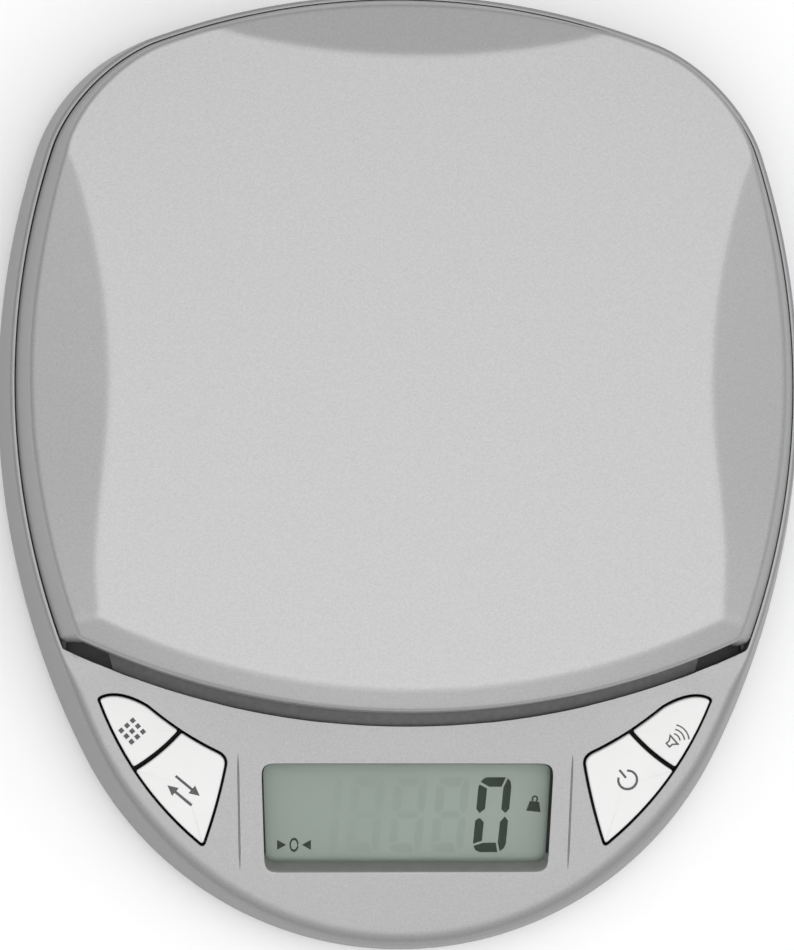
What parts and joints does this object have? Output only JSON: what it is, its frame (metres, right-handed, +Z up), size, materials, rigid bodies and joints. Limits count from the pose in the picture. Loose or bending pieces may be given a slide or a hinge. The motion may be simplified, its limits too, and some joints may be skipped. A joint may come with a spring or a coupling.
{
  "type": "digital portion scale",
  "caption": "Compact digital counting and portion scale with a rounded casing, lift-off platform, sloping display panel and paired keys.",
  "frame": {"origin": "bottom centre of the bounding box, on the surface the feet stand on", "axes": "+X to the user's right, +Y to the back, away from the display, +Z up"},
  "size_m": [0.1528, 0.1816, 0.038],
  "materials": {
    "casing_silver": "satin metallic silver, fine speckle",
    "button_white": "semi-gloss off-white",
    "grey_plastic": "satin moulded",
    "dark_plastic": "satin moulded",
    "black_rubber": "matte",
    "aluminium": "milled",
    "steel": "zinc plated",
    "display_glass": "grey-green reflective liquid crystal panel",
    "clear_window": "clear, polished",
    "board_green": "solder mask over glass fibre board",
    "resin_black": "potting resin",
    "seal_white": "silicone seal",
    "contact_brass": "spring strip",
    "wire_red": "insulated wire",
    "wire_black": "insulated wire",
    "wire_grey": "insulated cable",
    "label_white": "blank self-adhesive label"
  },
  "bodies": {
    "casing": {"upper_housing": "casing_silver", "lower_housing": "casing_silver", "tact_switch_1": "dark_plastic", "tact_switch_2": "dark_plastic", "tact_switch_3": "dark_plastic", "tact_switch_4": "dark_plastic", "display_frame": "dark_plastic", "buzzer": "dark_plastic", "rubber_foot_1": "black_rubber", "rubber_foot_2": "black_rubber", "rubber_foot_3": "black_rubber", "rubber_foot_4": "black_rubber", "contact_strip": "black_rubber", "load_cell": "aluminium", "load_cell_base_spacer": "aluminium", "housing_screw_1": "steel", "housing_screw_2": "steel", "housing_screw_3": "steel", "housing_screw_4": "steel", "load_cell_screw_1": "steel", "load_cell_screw_2": "steel", "board_screw_1": "steel", "board_screw_2": "steel", "board_screw_3": "steel", "board_screw_4": "steel", "coin_cell_1": "steel", "coin_cell_2": "steel", "display_glass": "display_glass", "display_window": "clear_window", "main_board": "board_green", "controller_blob": "resin_black", "gauge_cover_top": "seal_white", "gauge_cover_bottom": "seal_white", "cell_contact_1": "contact_brass", "cell_contact_2": "contact_brass", "cell_contact_3": "contact_brass", "cell_contact_4": "contact_brass", "battery_lead_positive": "wire_red", "battery_lead_negative": "wire_black", "load_cell_cable": "wire_grey", "rating_label": "label_white"},
    "weigh_carriage": {"platform_carrier": "grey_plastic", "load_cell_top_spacer": "aluminium", "load_cell_screw_3": "steel", "load_cell_screw_4": "steel"},
    "platform": {"platform": "casing_silver"},
    "battery_door": {"battery_door": "casing_silver"},
    "button_count": {"button_count": "button_white"},
    "button_unit": {"button_unit": "button_white"},
    "button_power": {"button_power": "button_white"},
    "button_sound": {"button_sound": "button_white"}
  },
  "joints": [
    {"name": "load_cell_flex", "type": "slide", "parent": "casing", "child": "weigh_carriage", "axis": [0, 0, 1], "range_m": [-0.0006, 0], "stiffness_N_per_m": 100000, "deforming": ["load_cell"]},
    {"name": "platform_lift_off", "type": "slide", "parent": "weigh_carriage", "child": "platform", "axis": [0, 0, 1], "range_m": [0, 0.035]},
    {"name": "battery_door_hinge", "type": "hinge", "parent": "casing", "child": "battery_door", "pos_m": [0, 0.0489, 0.0026], "axis": [-1, 0, 0], "range_deg": [0, 75]},
    {"name": "button_count_press", "type": "slide", "parent": "casing", "child": "button_count", "axis": [0, 0.1908, -0.9816], "range_m": [0, 0.0008], "stiffness_N_per_m": 300, "springref_m": -0.001},
    {"name": "button_unit_press", "type": "slide", "parent": "casing", "child": "button_unit", "axis": [0, 0.1908, -0.9816], "range_m": [0, 0.0008], "stiffness_N_per_m": 300, "springref_m": -0.001},
    {"name": "button_power_press", "type": "slide", "parent": "casing", "child": "button_power", "axis": [0, 0.1908, -0.9816], "range_m": [0, 0.0008], "stiffness_N_per_m": 300, "springref_m": -0.001},
    {"name": "button_sound_press", "type": "slide", "parent": "casing", "child": "button_sound", "axis": [0, 0.1908, -0.9816], "range_m": [0, 0.0008], "stiffness_N_per_m": 300, "springref_m": -0.001}
  ]
}
